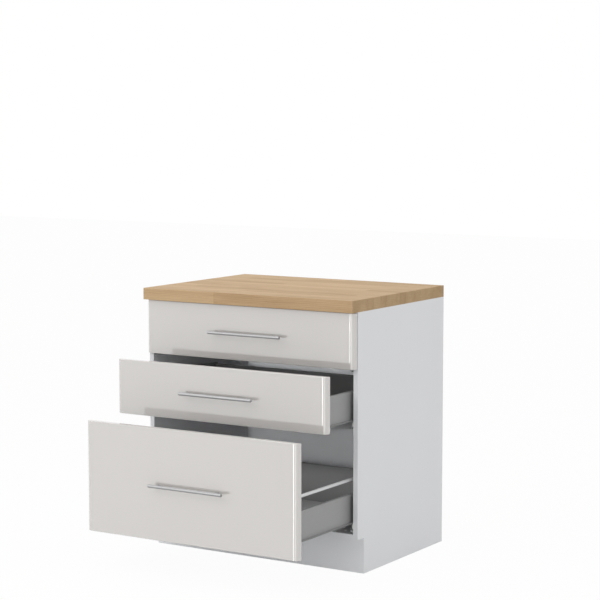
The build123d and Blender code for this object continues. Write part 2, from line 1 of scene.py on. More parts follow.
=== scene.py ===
import json
import math
import bmesh
import bpy
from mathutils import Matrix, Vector


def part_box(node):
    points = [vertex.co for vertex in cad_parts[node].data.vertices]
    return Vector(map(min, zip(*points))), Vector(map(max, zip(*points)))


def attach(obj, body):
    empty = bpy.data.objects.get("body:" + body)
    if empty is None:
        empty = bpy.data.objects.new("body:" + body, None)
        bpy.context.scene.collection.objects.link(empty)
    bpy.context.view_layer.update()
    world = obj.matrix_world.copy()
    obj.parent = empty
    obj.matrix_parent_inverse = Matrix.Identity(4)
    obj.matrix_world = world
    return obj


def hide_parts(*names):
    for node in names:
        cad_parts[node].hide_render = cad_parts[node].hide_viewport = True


# Kitchen base cabinet with three drawers: finishes, turned fasteners, bar handles, studio light
# and the camera. Metres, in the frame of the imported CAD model.

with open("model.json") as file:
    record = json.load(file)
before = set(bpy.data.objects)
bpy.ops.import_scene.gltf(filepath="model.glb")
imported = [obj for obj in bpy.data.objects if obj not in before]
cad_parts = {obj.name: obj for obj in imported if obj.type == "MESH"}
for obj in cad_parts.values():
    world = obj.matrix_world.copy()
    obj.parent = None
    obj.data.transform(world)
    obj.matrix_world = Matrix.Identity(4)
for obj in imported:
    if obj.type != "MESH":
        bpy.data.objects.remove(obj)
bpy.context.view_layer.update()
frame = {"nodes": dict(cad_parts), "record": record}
nodes = frame["nodes"]

MM = 0.001
side_panel_low, side_panel_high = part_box("side_panel_left")
carcass_front = side_panel_low.y
carcass_back = side_panel_high.y
worktop_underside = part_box("worktop")[0].z

SHARP_ANGLE = math.radians(28)


# ---------------------------------------------------------------- wiring of node trees

class Wiring:
    """Adds nodes to a tree. A value may be a number, a colour, a vector or an output."""

    def __init__(self, tree):
        self.tree = tree

    def put(self, socket, value):
        if isinstance(value, bpy.types.NodeSocket):
            self.tree.links.new(value, socket)
        else:
            socket.default_value = value

    def add(self, kind, inputs=None, **settings):
        node = self.tree.nodes.new(kind)
        for name, value in settings.items():
            setattr(node, name, value)
        for key, value in (inputs or {}).items():
            self.put(node.inputs[key], value)
        return node

    def maths(self, operation, *values):
        node = self.add("ShaderNodeMath", operation=operation)
        for socket, value in zip(node.inputs, values):
            self.put(socket, value)
        return node.outputs[0]

    def scaled(self, vector, by):
        node = self.add("ShaderNodeVectorMath", {0: vector, 1: by}, operation="MULTIPLY")
        return node.outputs[0]

    def moved(self, vector, by):
        node = self.add("ShaderNodeVectorMath", {0: vector, 1: by}, operation="ADD")
        return node.outputs[0]

    def split(self, vector):
        return self.add("ShaderNodeSeparateXYZ", {0: vector}).outputs

    def joined(self, x=0.0, y=0.0, z=0.0):
        return self.add("ShaderNodeCombineXYZ", {0: x, 1: y, 2: z}).outputs[0]

    def noise(self, vector, scale=1.0, detail=2.0, roughness=0.5):
        node = self.add("ShaderNodeTexNoise", {"Vector": vector, "Scale": scale,
                                               "Detail": detail, "Roughness": roughness})
        return node.outputs[0]

    def chance(self, vector):
        return self.add("ShaderNodeTexWhiteNoise", {"Vector": vector},
                        noise_dimensions="3D").outputs

    def mix(self, factor, first, second, how="MIX"):
        """Mixes two colours; the Mix node keeps them at sockets 6 and 7, and the result at 2."""
        node = self.add("ShaderNodeMix", data_type="RGBA", blend_type=how)
        for index, value in ((0, factor), (6, first), (7, second)):
            self.put(node.inputs[index], value)
        return node.outputs[2]

    def ramp(self, value, low, high, to_low=0.0, to_high=1.0):
        """Smooth step from to_low, where the value is low, to to_high, where it is high."""
        node = self.add("ShaderNodeMapRange", {"Value": value, "From Min": low, "From Max": high,
                                               "To Min": to_low, "To Max": to_high},
                        interpolation_type="SMOOTHSTEP")
        return node.outputs[0]


def shader_group(name, inputs, outputs):
    """A new effect: inputs are (label, socket type, value), outputs (label, socket type)."""
    tree = bpy.data.node_groups.new(name, "ShaderNodeTree")
    for label, kind, value in inputs:
        socket = tree.interface.new_socket(name=label, in_out="INPUT", socket_type=kind)
        if value is not None:
            socket.default_value = value
    for label, kind in outputs:
        tree.interface.new_socket(name=label, in_out="OUTPUT", socket_type=kind)
    given = tree.nodes.new("NodeGroupInput").outputs
    result = tree.nodes.new("NodeGroupOutput").inputs
    return tree, Wiring(tree), given, result


FLOAT, COLOUR, VECTOR = "NodeSocketFloat", "NodeSocketColor", "NodeSocketVector"


def oak_staves():
    """Solid wood in glued staves along X, each with its own heart, rings, fibres and pores."""
    tree, w, given, result = shader_group(
        "oak staves",
        [("Vector", VECTOR, None), ("Stave Width", FLOAT, 0.04), ("Stave Length", FLOAT, 0.4),
         ("Light Colour", COLOUR, (1, 1, 1, 1)), ("Dark Colour", COLOUR, (0, 0, 0, 1)),
         ("Ring Spacing", FLOAT, 0.004), ("Joint Depth", FLOAT, 0.5)],
        [("Color", COLOUR), ("Height", FLOAT), ("Roughness", FLOAT)])
    x, y, z = w.split(given["Vector"])
    row = w.maths("FLOOR", w.maths("DIVIDE", y, given["Stave Width"]))
    slide = w.chance(w.joined(row, 8.3, 2.6))[0]
    along = w.maths("ADD", w.maths("DIVIDE", x, given["Stave Length"]), slide)
    piece = w.maths("FLOOR", along)
    tone, own = w.chance(w.joined(row, piece, 0.5))
    own_x, own_y, own_z = w.split(own)

    # Rings: circles round a heart that lies below each stave and wanders along it.
    heart_spread, heart_least, heart_wander = 0.07, 0.02, 0.016
    wander_along, wander_across = 2.2, 16.0
    middle = w.maths("MULTIPLY", w.maths("ADD", row, own_x), given["Stave Width"])
    across = w.maths("SUBTRACT", y, middle)
    depth = w.maths("MULTIPLY_ADD", own_y, heart_spread, w.maths("ADD", z, heart_least))
    own_start = w.maths("MULTIPLY", own_z, 40.0)
    drift = w.noise(w.joined(w.maths("MULTIPLY_ADD", x, wander_along, own_start),
                             w.maths("MULTIPLY", y, wander_across),
                             w.maths("MULTIPLY", z, wander_across)))
    radius = w.maths("SQRT", w.maths("ADD", w.maths("MULTIPLY", across, across),
                                     w.maths("MULTIPLY", depth, depth)))
    radius = w.maths("MULTIPLY_ADD", drift, heart_wander, radius)
    wave = w.maths("SINE", w.maths("MULTIPLY", w.maths("DIVIDE", radius, given["Ring Spacing"]),
                                   2 * math.pi))
    ring = w.ramp(wave, -0.6, 1.0)

    offset = w.joined(w.maths("MULTIPLY", own_x, 31.0), w.maths("MULTIPLY", own_y, 17.0), 0.0)

    def grain(per_metre_along, per_metre_across, detail, roughness=0.5):
        """Noise drawn out along the stave, with another stretch of it in each stave."""
        stretch = (per_metre_along, per_metre_across, per_metre_across)
        return w.noise(w.moved(w.scaled(given["Vector"], stretch), offset), 1.0, detail, roughness)

    fibre = grain(7.0, 240.0, 4.0, 0.62)
    broad = grain(3.0, 34.0, 2.0)
    pore = w.ramp(grain(60.0, 1500.0, 1.0), 0.62, 0.74)

    dark = 0.0
    for darkening, share in ((tone, 0.42), (ring, 0.16), (w.ramp(fibre, 0.3, 0.7), 0.24),
                             (w.ramp(broad, 0.25, 0.75), 0.26)):
        dark = w.maths("MULTIPLY_ADD", darkening, share, dark)
    colour = w.mix(dark, given["Light Colour"], given["Dark Colour"])
    pore_shade = (0.5, 0.42, 0.34, 1)
    in_pore = w.mix(1.0, colour, pore_shade, "MULTIPLY")
    colour = w.mix(w.maths("MULTIPLY", pore, 0.35), colour, in_pore)

    def glue_line(steps, share):
        """1 where one stave ends and the next begins, over a share of the stave."""
        off_middle = w.maths("ABSOLUTE", w.maths("SUBTRACT", w.maths("FRACT", steps), 0.5))
        return w.ramp(off_middle, 0.5 - share, 0.5)

    side_joint = glue_line(w.maths("DIVIDE", y, given["Stave Width"]), 0.012)
    end_joint = glue_line(along, 0.0012)
    joint = w.maths("MULTIPLY", w.maths("MAXIMUM", side_joint, end_joint), given["Joint Depth"])
    colour = w.mix(w.maths("MULTIPLY", joint, 0.5), colour, given["Dark Colour"])
    w.put(result["Color"], colour)
    height = w.maths("MULTIPLY_ADD", fibre, 0.4, w.maths("MULTIPLY", ring, 0.2))
    height = w.maths("SUBTRACT", height, w.maths("MULTIPLY", pore, 0.8))
    w.put(result["Height"], w.maths("SUBTRACT", height, joint))
    w.put(result["Roughness"], w.maths("MULTIPLY_ADD", fibre, 0.16,
                                       w.maths("MULTIPLY_ADD", pore, 0.12, 0.5)))
    return tree


def pressed_texture():
    """The fine pebble that a press plate or a powder coat leaves on a surface."""
    tree, w, given, result = shader_group(
        "pressed texture",
        [("Vector", VECTOR, None), ("Scale", FLOAT, 900.0), ("Colour", COLOUR, (1, 1, 1, 1)),
         ("Variation", FLOAT, 0.03), ("Roughness", FLOAT, 0.45)],
        [("Color", COLOUR), ("Height", FLOAT), ("Roughness", FLOAT)])
    pebble = w.noise(given["Vector"], given["Scale"], 3.0, 0.6)
    cloud = w.noise(given["Vector"], 6.0, 2.0, 0.5)
    shade = w.maths("MULTIPLY", w.maths("ADD", cloud, pebble), given["Variation"])
    shade_grey = (0.3, 0.3, 0.3, 1)
    w.put(result["Color"], w.mix(shade, given["Colour"], shade_grey))
    w.put(result["Height"], pebble)
    w.put(result["Roughness"], w.maths("MULTIPLY_ADD", w.maths("SUBTRACT", cloud, 0.5), 0.12,
                                       w.maths("MULTIPLY_ADD", pebble, 0.06, given["Roughness"])))
    return tree


def raw_chipboard():
    """Sawn edge of particle board: flakes of several browns with dark gaps."""
    tree, w, given, result = shader_group(
        "raw chipboard", [("Vector", VECTOR, None), ("Flake Scale", FLOAT, 420.0)],
        [("Color", COLOUR), ("Height", FLOAT)])
    flakes = w.add("ShaderNodeTexVoronoi", {"Vector": given["Vector"],
                                            "Scale": given["Flake Scale"]}).outputs
    shade = w.split(flakes["Color"])[0]
    grit = w.noise(given["Vector"], 2600.0, 2.0)
    pale_flake = (0.52, 0.38, 0.23, 1)
    brown_flake = (0.30, 0.20, 0.11, 1)
    dark_gap = (0.10, 0.065, 0.035, 1)
    colour = w.mix(shade, pale_flake, brown_flake)
    w.put(result["Color"], w.mix(w.ramp(grit, 0.6, 0.75), colour, dark_gap))
    w.put(result["Height"], w.maths("SUBTRACT", shade, grit))
    return tree


def facing_mask():
    """1 where a surface faces along an axis and lies between two places on that axis."""
    tree, w, given, result = shader_group(
        "facing mask", [("Vector", VECTOR, None), ("Axis", VECTOR, (0, 1, 0)),
                        ("From", FLOAT, 0.0), ("To", FLOAT, 1.0)], [("Mask", FLOAT)])
    normal = w.add("ShaderNodeNewGeometry").outputs["Normal"]
    turned_to = w.add("ShaderNodeVectorMath", {0: normal, 1: given["Axis"]},
                      operation="DOT_PRODUCT").outputs["Value"]
    place = w.add("ShaderNodeVectorMath", {0: given["Vector"], 1: given["Axis"]},
                  operation="DOT_PRODUCT").outputs["Value"]
    between = w.maths("MULTIPLY", w.maths("GREATER_THAN", place, given["From"]),
                      w.maths("LESS_THAN", place, given["To"]))
    faces_it = w.maths("GREATER_THAN", turned_to, 0.7)
    w.put(result["Mask"], w.maths("MULTIPLY", between, faces_it))
    return tree


def handling_marks():
    """Faint wiping marks in a polished surface: uneven roughness and a very shallow waviness."""
    tree, w, given, result = shader_group(
        "handling marks", [("Vector", VECTOR, None), ("Scale", FLOAT, 9.0),
                           ("Roughness", FLOAT, 0.05), ("Spread", FLOAT, 0.04)],
        [("Roughness", FLOAT), ("Height", FLOAT)])
    smear = w.noise(w.scaled(given["Vector"], (1.0, 1.0, 0.45)), given["Scale"], 4.0, 0.6)
    speck = w.ramp(w.noise(given["Vector"], 340.0, 2.0), 0.66, 0.72)
    uneven = w.maths("MULTIPLY", w.ramp(smear, 0.42, 0.72), given["Spread"])
    w.put(result["Roughness"], w.maths("ADD", given["Roughness"],
                                       w.maths("MULTIPLY_ADD", speck, 0.03, uneven)))
    w.put(result["Height"], w.noise(given["Vector"], 130.0, 1.0))
    return tree


def drawn_lines():
    """Fine lines that brushing or drawing leaves along one direction of a metal."""
    tree, w, given, result = shader_group(
        "drawn lines", [("Vector", VECTOR, None), ("Stretch", VECTOR, (6.0, 2200.0, 2200.0)),
                        ("Colour", COLOUR, (0.7, 0.7, 0.7, 1)), ("Roughness", FLOAT, 0.28),
                        ("Depth", FLOAT, 0.12)],
        [("Color", COLOUR), ("Height", FLOAT), ("Roughness", FLOAT)])
    lines = w.noise(w.scaled(given["Vector"], given["Stretch"]), 1.0, 3.0, 0.65)
    cloud = w.noise(given["Vector"], 28.0, 2.0)
    groove_grey = (0.25, 0.25, 0.26, 1)
    w.put(result["Color"], w.mix(w.maths("MULTIPLY", lines, given["Depth"]), given["Colour"],
                                 groove_grey))
    w.put(result["Height"], lines)
    w.put(result["Roughness"], w.maths("MULTIPLY_ADD", lines, 0.12,
                                       w.maths("MULTIPLY_ADD", cloud, 0.05, given["Roughness"])))
    return tree


def settled_dust():
    """A trace of pale dust on faces that look up."""
    tree, w, given, result = shader_group(
        "settled dust", [("Vector", VECTOR, None), ("Color", COLOUR, (1, 1, 1, 1)),
                         ("Amount", FLOAT, 0.06)], [("Color", COLOUR)])
    up = w.split(w.add("ShaderNodeNewGeometry").outputs["Normal"])[2]
    patch = w.ramp(w.noise(given["Vector"], 24.0, 4.0, 0.65), 0.4, 0.75)
    mask = w.maths("MULTIPLY", w.ramp(up, 0.7, 1.0), w.maths("MULTIPLY", patch, given["Amount"]))
    dust_grey = (0.62, 0.6, 0.56, 1)
    w.put(result["Color"], w.mix(mask, given["Color"], dust_grey))
    return tree


effects = {make.__name__: make() for make in (oak_staves, pressed_texture, raw_chipboard,
                                              facing_mask, handling_marks, drawn_lines,
                                              settled_dust)}


# ---------------------------------------------------------------- finishes

BACK, UP, DOWN = (0, 1, 0), (0, 0, 1), (0, 0, -1)


class Finish:
    """A material with one Principled shader, and what is wired to it."""

    def __init__(self, name, shown_colour, **fixed):
        self.material = bpy.data.materials.new(name)
        self.material.use_nodes = True
        self.material.diffuse_color = (*shown_colour, 1)
        self.wiring = Wiring(self.material.node_tree)
        self.shader = self.material.node_tree.nodes["Principled BSDF"]
        for label, value in fixed.items():
            self.shader.inputs[label.replace("_", " ")].default_value = value
        self.place = self.wiring.add("ShaderNodeTexCoord").outputs["Object"]

    def effect(self, name, **values):
        node = self.wiring.add("ShaderNodeGroup", {"Vector": self.place}, node_tree=effects[name])
        for label, value in values.items():
            self.wiring.put(node.inputs[label.replace("_", " ")], value)
        return node.outputs

    def facing(self, axis, start=-2.0, end=2.0):
        """1 where the surface faces along the axis, from start to end on that axis."""
        return self.effect("facing_mask", Axis=axis, From=start, To=end)["Mask"]

    def relief(self, height, strength, distance):
        """Bump of a height map, distance metres high at full strength."""
        bump = self.wiring.add("ShaderNodeBump", {"Height": height, "Strength": strength,
                                                  "Distance": distance})
        self.wiring.put(self.shader.inputs["Normal"], bump.outputs[0])

    def colour(self, value):
        self.wiring.put(self.shader.inputs["Base Color"], value)

    def roughness(self, value):
        self.wiring.put(self.shader.inputs["Roughness"], value)


def rgb(red, green, blue):
    """Linear colour of an sRGB triple from 0 to 255."""
    def linear(value):
        value /= 255
        return value / 12.92 if value <= 0.04045 else ((value + 0.055) / 1.055) ** 2.4
    return linear(red), linear(green), linear(blue)


def gloss_front():
    """Foil-wrapped front: deep gloss on the face and edges, pale satin behind."""
    foil = rgb(194, 190, 186)
    finish = Finish("high gloss front", foil, IOR=2.5, Coat_Weight=1.0, Coat_Roughness=0.005,
                    Coat_IOR=1.5)
    marks = finish.effect("handling_marks", Scale=7.0, Roughness=0.012, Spread=0.015)
    back = finish.facing(BACK)
    satin = finish.effect("pressed_texture", Scale=1100.0, Colour=(*rgb(214, 215, 216), 1))
    gloss = finish.effect("settled_dust", Color=(*foil, 1), Amount=0.02)
    wiring = finish.wiring
    finish.colour(wiring.mix(back, gloss["Color"], satin["Color"]))
    finish.roughness(wiring.ramp(back, 0.0, 1.0, marks["Roughness"], satin["Roughness"]))
    wiring.put(finish.shader.inputs["Coat Weight"], wiring.maths("SUBTRACT", 1.0, back))
    height = wiring.maths("MULTIPLY", satin["Height"], back)
    finish.relief(wiring.maths("MULTIPLY_ADD", marks["Height"], 0.04, height), 0.12, 0.1 * MM)
    return finish.material


def white_board():
    """White melamine board; its rear, top and foot edges are sawn chipboard without banding."""
    finish = Finish("white melamine board", rgb(228, 229, 231))
    face = finish.effect("pressed_texture", Scale=1000.0, Colour=(*rgb(229, 230, 232), 1),
                         Variation=0.02, Roughness=0.4)
    sawn = finish.effect("raw_chipboard")
    rear = finish.facing(BACK, carcass_back - MM)
    top = finish.facing(UP, worktop_underside - MM)
    foot = finish.facing(DOWN, -MM)
    wiring = finish.wiring
    raw = wiring.maths("MAXIMUM", rear, wiring.maths("MAXIMUM", top, foot))
    dusty = finish.effect("settled_dust", Color=face["Color"], Amount=0.05)
    finish.colour(wiring.mix(raw, dusty["Color"], sawn["Color"]))
    finish.roughness(wiring.ramp(raw, 0.0, 1.0, face["Roughness"], 0.85))
    finish.relief(wiring.maths("MULTIPLY_ADD", wiring.maths("MULTIPLY", sawn["Height"], raw), 3.0,
                               face["Height"]), 0.2, 0.12 * MM)
    return finish.material


def oak_worktop():
    """Oiled oak in 42 mm staves, with painted shade that makes every face but the top a little
    darker.
    """
    finish = Finish("oak stave worktop", rgb(188, 163, 127), Specular_IOR_Level=0.2)
    wood = finish.effect("oak_staves", Stave_Width=42 * MM, Stave_Length=0.62,
                         Light_Colour=(*rgb(203, 175, 138), 1),
                         Dark_Colour=(*rgb(166, 135, 98), 1), Ring_Spacing=5.2 * MM)
    # Painted shade: every face that does not look up is multiplied by this grey, so the edges look
    # less lit than the top.
    painted_edge_shade = (0.92, 0.91, 0.9, 1)
    edges = finish.wiring.mix(1.0, wood["Color"], painted_edge_shade, "MULTIPLY")
    finish.colour(finish.wiring.mix(finish.facing(UP, worktop_underside), edges, wood["Color"]))
    finish.roughness(wood["Roughness"])
    finish.relief(wood["Height"], 0.25, 0.2 * MM)
    return finish.material


def beech_dowel():
    """Raw beech with fine rings."""
    finish = Finish("raw beech", rgb(214, 184, 144))
    wood = finish.effect("oak_staves", Stave_Width=3.0, Stave_Length=5.0,
                         Light_Colour=(*rgb(222, 194, 155), 1),
                         Dark_Colour=(*rgb(196, 162, 120), 1), Ring_Spacing=1.6 * MM,
                         Joint_Depth=0.0)
    finish.colour(wood["Color"])
    finish.roughness(wood["Roughness"])
    finish.relief(wood["Height"], 0.4, 0.2 * MM)
    return finish.material


def back_board():
    """Thin fibreboard: white lacquer inside the cabinet, raw brown towards the wall."""
    finish = Finish("back board", rgb(225, 226, 228))
    inside = finish.effect("pressed_texture", Scale=700.0, Colour=(*rgb(228, 229, 231), 1),
                           Variation=0.02, Roughness=0.42)
    fibres = finish.effect("pressed_texture", Scale=260.0, Colour=(*rgb(150, 112, 74), 1),
                           Variation=0.2, Roughness=0.7)
    outside = finish.facing(BACK, carcass_back - 2 * MM)
    wiring = finish.wiring
    finish.colour(wiring.mix(outside, inside["Color"], fibres["Color"]))
    finish.roughness(wiring.ramp(outside, 0.0, 1.0, inside["Roughness"], fibres["Roughness"]))
    finish.relief(wiring.maths("ADD", inside["Height"], fibres["Height"]), 0.2, 0.1 * MM)
    return finish.material


def base_laminate():
    """Grey laminate of the drawer bases, with sawn rear edges."""
    finish = Finish("drawer base laminate", rgb(206, 206, 206))
    face = finish.effect("pressed_texture", Scale=800.0, Colour=(*rgb(207, 207, 207), 1),
                         Variation=0.05, Roughness=0.42)
    sawn = finish.effect("raw_chipboard")
    rear = finish.facing(BACK)
    wiring = finish.wiring
    dusty = finish.effect("settled_dust", Color=face["Color"], Amount=0.06)
    finish.colour(wiring.mix(rear, dusty["Color"], sawn["Color"]))
    finish.roughness(wiring.ramp(rear, 0.0, 1.0, face["Roughness"], 0.85))
    finish.relief(face["Height"], 0.2, 0.1 * MM)
    return finish.material


def coated_steel(name, red, green, blue, roughness):
    """Powder or epoxy coat on folded sheet."""
    colour = rgb(red, green, blue)
    finish = Finish(name, colour, Coat_Weight=0.15, Coat_Roughness=0.3)
    coat = finish.effect("pressed_texture", Scale=1500.0, Colour=(*colour, 1), Variation=0.04,
                         Roughness=roughness)
    dusty = finish.effect("settled_dust", Color=coat["Color"], Amount=0.05)
    finish.colour(dusty["Color"])
    finish.roughness(coat["Roughness"])
    finish.relief(coat["Height"], 0.15, 0.08 * MM)
    return finish.material


def drawn_metal(name, red, green, blue, roughness, stretch, depth):
    """Bare metal; stretch is how often its fine lines repeat in a metre along X, Y and Z."""
    colour = rgb(red, green, blue)
    finish = Finish(name, colour, Metallic=1.0)
    lines = finish.effect("drawn_lines", Stretch=stretch, Colour=(*colour, 1),
                          Roughness=roughness, Depth=depth)
    finish.colour(lines["Color"])
    finish.roughness(lines["Roughness"])
    finish.relief(lines["Height"], 0.1, 0.05 * MM)
    return finish.material


def moulded_plastic(name, red, green, blue, roughness):
    """Moulded plastic with the fine grain of its tool."""
    colour = rgb(red, green, blue)
    finish = Finish(name, colour, Subsurface_Weight=0.05, Subsurface_Scale=0.002)
    grain = finish.effect("pressed_texture", Scale=2400.0, Colour=(*colour, 1), Variation=0.04,
                          Roughness=roughness)
    finish.colour(grain["Color"])
    finish.roughness(grain["Roughness"])
    finish.relief(grain["Height"], 0.12, 0.06 * MM)
    return finish.material


finishes = {
    "white_board": white_board(),
    "gloss_front": gloss_front(),
    "oak_worktop": oak_worktop(),
    "back_board": back_board(),
    "base_laminate": base_laminate(),
    "beech_dowel": beech_dowel(),
    "drawer_steel": coated_steel("grey powder coat", 146, 146, 146, 0.38),
    "runner_steel": coated_steel("epoxy coated runner", 206, 207, 208, 0.4),
    "rail_steel": coated_steel("light grey rail coat", 222, 222, 223, 0.32),
    "handle_steel": drawn_metal("brushed handle steel", 179, 179, 180, 0.46,
                                (8.0, 2600.0, 2600.0), 0.1),
    "zinc": drawn_metal("bright zinc", 196, 199, 202, 0.3, (420.0, 420.0, 420.0), 0.2),
    "roller_plastic": moulded_plastic("white nylon", 232, 232, 228, 0.35),
    "holder_plastic": moulded_plastic("grey holder plastic", 176, 176, 176, 0.42),
}


# ---------------------------------------------------------------- geometry nodes

def geometry_group(name, inputs):
    tree = bpy.data.node_groups.new(name, "GeometryNodeTree")
    tree.interface.new_socket(name="Geometry", in_out="INPUT", socket_type="NodeSocketGeometry")
    for label, kind, value in inputs:
        socket = tree.interface.new_socket(name=label, in_out="INPUT", socket_type=kind)
        if value is not None:
            socket.default_value = value
    tree.interface.new_socket(name="Geometry", in_out="OUTPUT", socket_type="NodeSocketGeometry")
    given = tree.nodes.new("NodeGroupInput").outputs
    result = tree.nodes.new("NodeGroupOutput").inputs
    return tree, Wiring(tree), given, result


def named_value(w, label, kind):
    return w.add("GeometryNodeInputNamedAttribute", {"Name": label}, data_type=kind).outputs[0]


def softened_tree():
    """Joins a mesh's loose triangles and shades it smooth except over its sharp edges."""
    tree, w, given, result = geometry_group("softened shading", [
        ("Joining Distance", FLOAT, 0.002 * MM), ("Sharp Angle", FLOAT, SHARP_ANGLE)])
    merged = w.add("GeometryNodeMergeByDistance", {"Geometry": given["Geometry"],
                                                   "Distance": given["Joining Distance"]})
    faces = w.add("GeometryNodeSetShadeSmooth", {"Geometry": merged.outputs[0],
                                                 "Shade Smooth": True}, domain="FACE")
    angle = w.add("GeometryNodeInputMeshEdgeAngle").outputs["Unsigned Angle"]
    sharp = w.add("FunctionNodeCompare", data_type="FLOAT", operation="LESS_THAN")
    w.put(sharp.inputs[0], angle)
    w.put(sharp.inputs[1], given["Sharp Angle"])
    edges = w.add("GeometryNodeSetShadeSmooth", {"Geometry": faces.outputs[0],
                                                 "Shade Smooth": sharp.outputs[0]}, domain="EDGE")
    w.put(result["Geometry"], edges.outputs[0])
    return tree


def turned_tree():
    """Turns stations along Z into a solid of revolution and sets it out on places.

    The stations' mesh is a row of vertices with a radius each, in millimetres. A place is a
    vertex with a facing: the way that the piece points from its head. A cross recess is cut
    where its reach is over 0.
    """
    tree, w, given, result = geometry_group("turned pieces", [
        ("Sides", "NodeSocketInt", 24), ("Places", "NodeSocketObject", None),
        ("Recess Reach", FLOAT, 0.0), ("Recess Depth", FLOAT, 0.0),
        ("Recess Width", FLOAT, 0.0), ("Finish", "NodeSocketMaterial", None)])
    line = w.add("GeometryNodeMeshToCurve", {"Mesh": given["Geometry"]})
    ring = w.add("GeometryNodeCurvePrimitiveCircle", {"Resolution": given["Sides"],
                                                      "Radius": 1.0}, mode="RADIUS")
    body = w.add("GeometryNodeCurveToMesh", {"Curve": line.outputs[0],
                                             "Profile Curve": ring.outputs[0],
                                             "Scale": named_value(w, "radius", "FLOAT"),
                                             "Fill Caps": True}).outputs[0]
    arms = w.add("GeometryNodeJoinGeometry")
    for size in ((given["Recess Reach"], given["Recess Width"]),
                 (given["Recess Width"], given["Recess Reach"])):
        arm = w.add("GeometryNodeMeshCube", {"Size": w.joined(*size, w.maths(
            "MULTIPLY", given["Recess Depth"], 2.0))})
        w.tree.links.new(arm.outputs[0], arms.inputs[0])
    cut = w.add("GeometryNodeMeshBoolean", {"Mesh 1": body, "Mesh 2": arms.outputs[0],
                                            "Self Intersection": True},
                operation="DIFFERENCE", solver="EXACT").outputs[0]
    recessed = w.add("FunctionNodeCompare", data_type="FLOAT", operation="GREATER_THAN")
    w.put(recessed.inputs[0], given["Recess Reach"])
    w.put(recessed.inputs[1], 0.0)
    piece = w.add("GeometryNodeSwitch", {"Switch": recessed.outputs[0], "False": body,
                                         "True": cut}, input_type="GEOMETRY").outputs[0]
    piece = w.add("GeometryNodeTransform", {"Geometry": piece, "Scale": (MM, MM, MM)}).outputs[0]
    places = w.add("GeometryNodeObjectInfo", {"Object": given["Places"]},
                   transform_space="ORIGINAL").outputs["Geometry"]
    turn = w.add("FunctionNodeAlignRotationToVector",
                 {"Vector": named_value(w, "facing", "FLOAT_VECTOR")}, axis="Z").outputs[0]
    set_out = w.add("GeometryNodeInstanceOnPoints", {"Points": places, "Instance": piece,
                                                     "Rotation": turn}).outputs[0]
    real = w.add("GeometryNodeRealizeInstances", {"Geometry": set_out}).outputs[0]
    done = w.add("GeometryNodeSetMaterial", {"Geometry": real, "Material": given["Finish"]})
    w.put(result["Geometry"], done.outputs[0])
    return tree


def bar_handle_tree():
    """A round bar along X with eased ends, on two round posts that stand on the front.

    Sizes are in millimetres. The bar's four stations are its two ends and, one easing further
    in, the two places where it has its full thickness.
    """
    tree, w, given, result = geometry_group("bar handle", [
        ("Length", FLOAT, 274.0), ("Diameter", FLOAT, 10.0), ("Reach", FLOAT, 22.0),
        ("Post Spacing", FLOAT, 224.0), ("Post Diameter", FLOAT, 8.0), ("Eased End", FLOAT, 0.5),
        ("Sides", "NodeSocketInt", 64), ("Place", VECTOR, (0.0, 0.0, 0.0)),
        ("Finish", "NodeSocketMaterial", None)])
    stations = 4
    index = w.add("GeometryNodeInputIndex").outputs[0]
    from_middle = w.maths("SUBTRACT", index, (stations - 1) / 2)
    end = w.maths("GREATER_THAN", w.maths("ABSOLUTE", from_middle), 1.0)
    hand = w.maths("SIGN", from_middle)
    half = w.maths("DIVIDE", given["Length"], 2.0)
    inner = w.maths("SUBTRACT", half, given["Eased End"])
    x = w.maths("MULTIPLY", hand, w.maths("MULTIPLY_ADD", end, given["Eased End"], inner))
    row = w.add("GeometryNodeMeshLine", {"Count": stations}).outputs[0]
    row = w.add("GeometryNodeSetPosition", {"Geometry": row, "Position": w.joined(
        x, w.maths("MULTIPLY", given["Reach"], -1.0), 0.0)}).outputs[0]
    radius = w.maths("SUBTRACT", w.maths("DIVIDE", given["Diameter"], 2.0),
                     w.maths("MULTIPLY", end, given["Eased End"]))
    line = w.add("GeometryNodeMeshToCurve", {"Mesh": row}).outputs[0]
    ring = w.add("GeometryNodeCurvePrimitiveCircle", {"Resolution": given["Sides"],
                                                      "Radius": 1.0}, mode="RADIUS").outputs[0]
    bar = w.add("GeometryNodeCurveToMesh", {"Curve": line, "Profile Curve": ring,
                                            "Scale": radius, "Fill Caps": True}).outputs[0]
    posts = w.add("GeometryNodeJoinGeometry")
    for side in (-0.5, 0.5):
        post = w.add("GeometryNodeMeshCylinder", {
            "Vertices": given["Sides"], "Radius": w.maths("DIVIDE", given["Post Diameter"], 2.0),
            "Depth": given["Reach"]}).outputs[0]
        post = w.add("GeometryNodeTransform", {
            "Geometry": post, "Rotation": (math.pi / 2, 0.0, 0.0),
            "Translation": w.joined(w.maths("MULTIPLY", given["Post Spacing"], side),
                                    w.maths("MULTIPLY", given["Reach"], -0.5), 0.0)}).outputs[0]
        w.tree.links.new(post, posts.inputs[0])
    union = w.add("GeometryNodeMeshBoolean", operation="UNION", solver="EXACT")
    w.tree.links.new(bar, union.inputs["Mesh 2"])
    w.tree.links.new(posts.outputs[0], union.inputs["Mesh 2"])
    sized = w.add("GeometryNodeTransform", {"Geometry": union.outputs[0], "Scale": (MM, MM, MM),
                                            "Translation": given["Place"]}).outputs[0]
    real = w.add("GeometryNodeRealizeInstances", {"Geometry": sized}).outputs[0]
    done = w.add("GeometryNodeSetMaterial", {"Geometry": real, "Material": given["Finish"]})
    w.put(result["Geometry"], done.outputs[0])
    return tree


softened = softened_tree()
turned = turned_tree()
bar_handle = bar_handle_tree()


def fit(thing, tree, **values):
    """Puts a tree on an object and sets the inputs named in values by their identifiers."""
    modifier = thing.modifiers.new(tree.name, "NODES")
    modifier.node_group = tree
    for item in tree.interface.items_tree:
        label = item.name.replace(" ", "_")
        if item.item_type == "SOCKET" and item.in_out == "INPUT" and label in values:
            modifier[item.identifier] = values[label]


